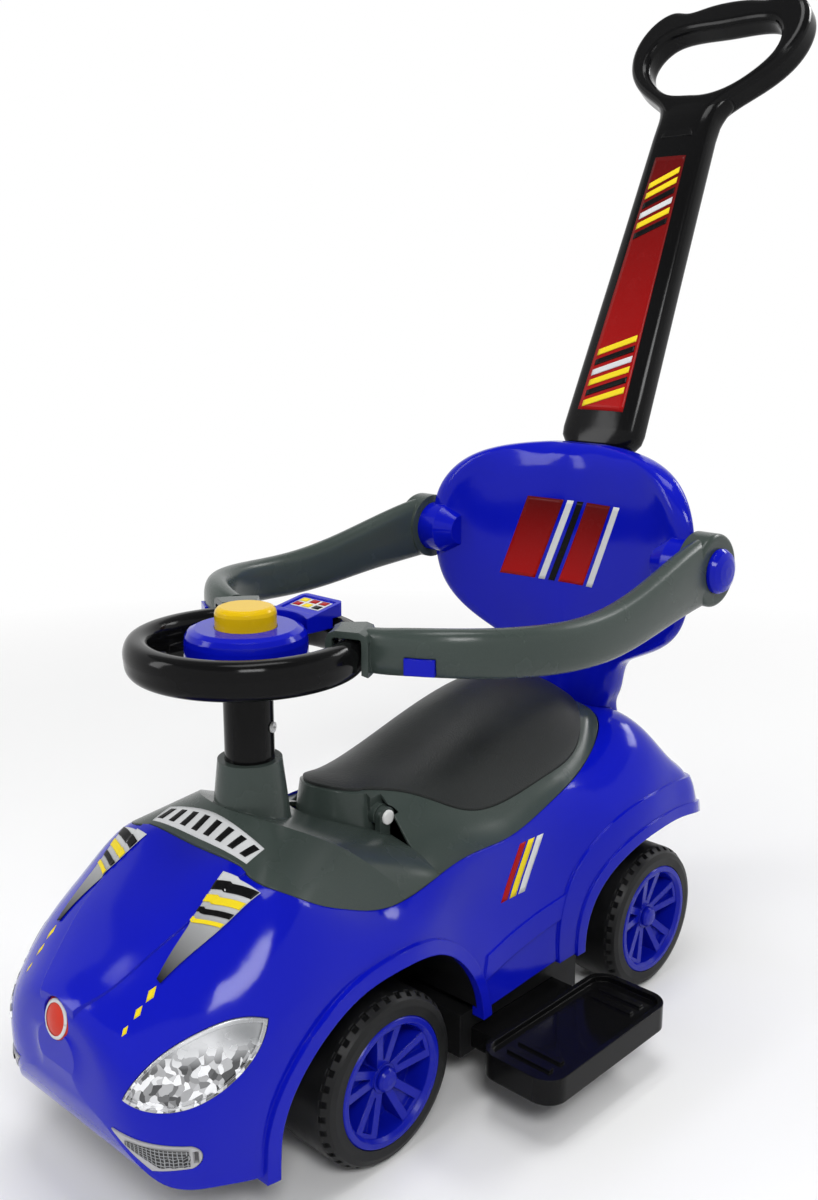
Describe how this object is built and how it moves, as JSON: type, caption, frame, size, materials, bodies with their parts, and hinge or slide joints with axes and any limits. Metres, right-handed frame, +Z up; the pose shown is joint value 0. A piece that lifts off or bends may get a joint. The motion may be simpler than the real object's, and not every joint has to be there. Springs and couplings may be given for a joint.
{
  "type": "push car with handle",
  "caption": "Ride-on toy push car with a moulded body, lift-up seat over a bin, steerable front wheels, swing-up guard arms, pull-out footrests and a removable push handle with a hand loop.",
  "frame": {"origin": "on the ground under the middle of the wheelbase, on the centre plane", "axes": "+Z up, the car faces -Y, +X towards its left side"},
  "size_m": [0.41, 0.8248, 0.904],
  "materials": {
    "body_blue": "gloss",
    "trim_grey": "satin",
    "black_gloss": "gloss",
    "black_matte": "matte",
    "seat_dark": "fine texture",
    "tyre_black": "matte",
    "rim_blue": "gloss",
    "lamp_silver": "bright",
    "grille_dark": "matte",
    "badge_red": "gloss",
    "horn_yellow": "gloss",
    "steel": "bright",
    "white_plastic": "gloss",
    "board_green": "matte",
    "cell_metal": "satin",
    "speaker_dark": "matte"
  },
  "bodies": {
    "chassis": {"body_shell": "body_blue", "nose_badge": "badge_red", "headlamp_left": "lamp_silver", "headlamp_right": "lamp_silver", "fog_grille_left": "grille_dark", "fog_grille_right": "grille_dark", "cowl": "trim_grey", "seat_hinge_pins": "white_plastic", "storage_bin": "black_matte", "kingpins": "steel", "rear_caps": "rim_blue", "rear_axle": "steel", "chassis_tray": "black_matte", "underbody_screws": "steel", "front_liner_left": "black_matte", "front_liner_right": "black_matte", "rear_liner_left": "black_matte", "rear_liner_right": "black_matte", "backrest_front": "body_blue", "backrest_rear": "body_blue", "backrest_screws": "steel", "handle_socket": "black_matte", "arm_pins": "steel", "arm_knobs": "body_blue"},
    "steering": {"steering_column": "black_gloss", "column_screw": "white_plastic", "steering_wheel": "black_gloss", "horn_pod": "body_blue", "battery_cover": "black_matte", "battery_cells": "cell_metal", "speaker": "speaker_dark", "sound_board": "board_green", "dash_panel": "body_blue", "steering_rod": "steel"},
    "horn_button": {"horn_button": "horn_yellow"},
    "tie_rod": {"tie_rod": "steel"},
    "knuckle_left": {"knuckle_left": "steel", "front_cap_left": "rim_blue"},
    "knuckle_right": {"knuckle_right": "steel", "front_cap_right": "rim_blue"},
    "seat_lid": {"seat_lid": "trim_grey", "seat_pad": "seat_dark"},
    "footrest_left": {"footrest_left": "black_gloss"},
    "footrest_right": {"footrest_right": "black_gloss"},
    "push_handle": {"push_handle": "black_gloss"},
    "guard_arm_left": {"guard_arm_left": "trim_grey"},
    "guard_arm_right": {"guard_arm_right": "trim_grey"},
    "arm_button_left": {"arm_button_left": "body_blue"},
    "arm_button_right": {"arm_button_right": "body_blue"},
    "front_wheel_left": {"front_tyre_left": "tyre_black", "front_rim_left": "rim_blue"},
    "front_wheel_right": {"front_tyre_right": "tyre_black", "front_rim_right": "rim_blue"},
    "rear_wheel_left": {"rear_tyre_left": "tyre_black", "rear_rim_left": "rim_blue"},
    "rear_wheel_right": {"rear_tyre_right": "tyre_black", "rear_rim_right": "rim_blue"}
  },
  "joints": [
    {"name": "steering_turn", "type": "hinge", "parent": "chassis", "child": "steering", "pos_m": [0, -0.193, 0.3], "axis": [0, 0, 1], "range_deg": [-22, 22]},
    {"name": "horn_press", "type": "slide", "parent": "steering", "child": "horn_button", "axis": [0, 0, -1], "range_m": [0, 0.0025], "stiffness_N_per_m": 600, "springref_m": -0.002},
    {"name": "tie_rod_slide", "type": "slide", "parent": "chassis", "child": "tie_rod", "axis": [1, 0, 0], "range_m": [-0.0104, 0.0104]},
    {"name": "knuckle_left_turn", "type": "hinge", "parent": "chassis", "child": "knuckle_left", "pos_m": [0.052, -0.172, 0.066], "axis": [0, 0, 1], "range_deg": [-22.5, 22.5]},
    {"name": "front_wheel_left_spin", "type": "hinge", "parent": "knuckle_left", "child": "front_wheel_left", "pos_m": [0.096, -0.172, 0.066], "axis": [1, 0, 0], "continuous": true},
    {"name": "rear_wheel_left_spin", "type": "hinge", "parent": "chassis", "child": "rear_wheel_left", "pos_m": [0.096, 0.172, 0.066], "axis": [1, 0, 0], "continuous": true},
    {"name": "guard_arm_left_swing", "type": "hinge", "parent": "chassis", "child": "guard_arm_left", "pos_m": [0.16, 0.172, 0.399], "axis": [-1, 0, 0], "range_deg": [0, 85]},
    {"name": "arm_button_left_press", "type": "slide", "parent": "guard_arm_left", "child": "arm_button_left", "axis": [-0.5, 0.866, 0], "range_m": [0, 0.0025], "stiffness_N_per_m": 500, "springref_m": -0.002},
    {"name": "footrest_left_slide", "type": "slide", "parent": "chassis", "child": "footrest_left", "axis": [1, 0, 0], "range_m": [0, 0.03]},
    {"name": "knuckle_right_turn", "type": "hinge", "parent": "chassis", "child": "knuckle_right", "pos_m": [-0.052, -0.172, 0.066], "axis": [0, 0, 1], "range_deg": [-22.5, 22.5]},
    {"name": "front_wheel_right_spin", "type": "hinge", "parent": "knuckle_right", "child": "front_wheel_right", "pos_m": [-0.096, -0.172, 0.066], "axis": [1, 0, 0], "continuous": true},
    {"name": "rear_wheel_right_spin", "type": "hinge", "parent": "chassis", "child": "rear_wheel_right", "pos_m": [-0.096, 0.172, 0.066], "axis": [1, 0, 0], "continuous": true},
    {"name": "guard_arm_right_swing", "type": "hinge", "parent": "chassis", "child": "guard_arm_right", "pos_m": [-0.16, 0.172, 0.399], "axis": [-1, 0, 0], "range_deg": [0, 85]},
    {"name": "arm_button_right_press", "type": "slide", "parent": "guard_arm_right", "child": "arm_button_right", "axis": [0.5, 0.866, 0], "range_m": [0, 0.0025], "stiffness_N_per_m": 500, "springref_m": -0.002},
    {"name": "footrest_right_slide", "type": "slide", "parent": "chassis", "child": "footrest_right", "axis": [-1, 0, 0], "range_m": [0, 0.03]},
    {"name": "seat_lid_hinge", "type": "hinge", "parent": "chassis", "child": "seat_lid", "pos_m": [0, -0.096, 0.226], "axis": [1, 0, 0], "range_deg": [0, 40]},
    {"name": "push_handle_pull", "type": "slide", "parent": "chassis", "child": "push_handle", "axis": [0, 0.3987, 0.9171], "range_m": [0, 0.08]}
  ],
  "couplings": [
    {"joint": "tie_rod_slide", "follows": "steering_turn", "m_per_rad": 0.026},
    {"joint": "knuckle_left_turn", "follows": "steering_turn", "ratio": 1},
    {"joint": "knuckle_right_turn", "follows": "steering_turn", "ratio": 1}
  ]
}
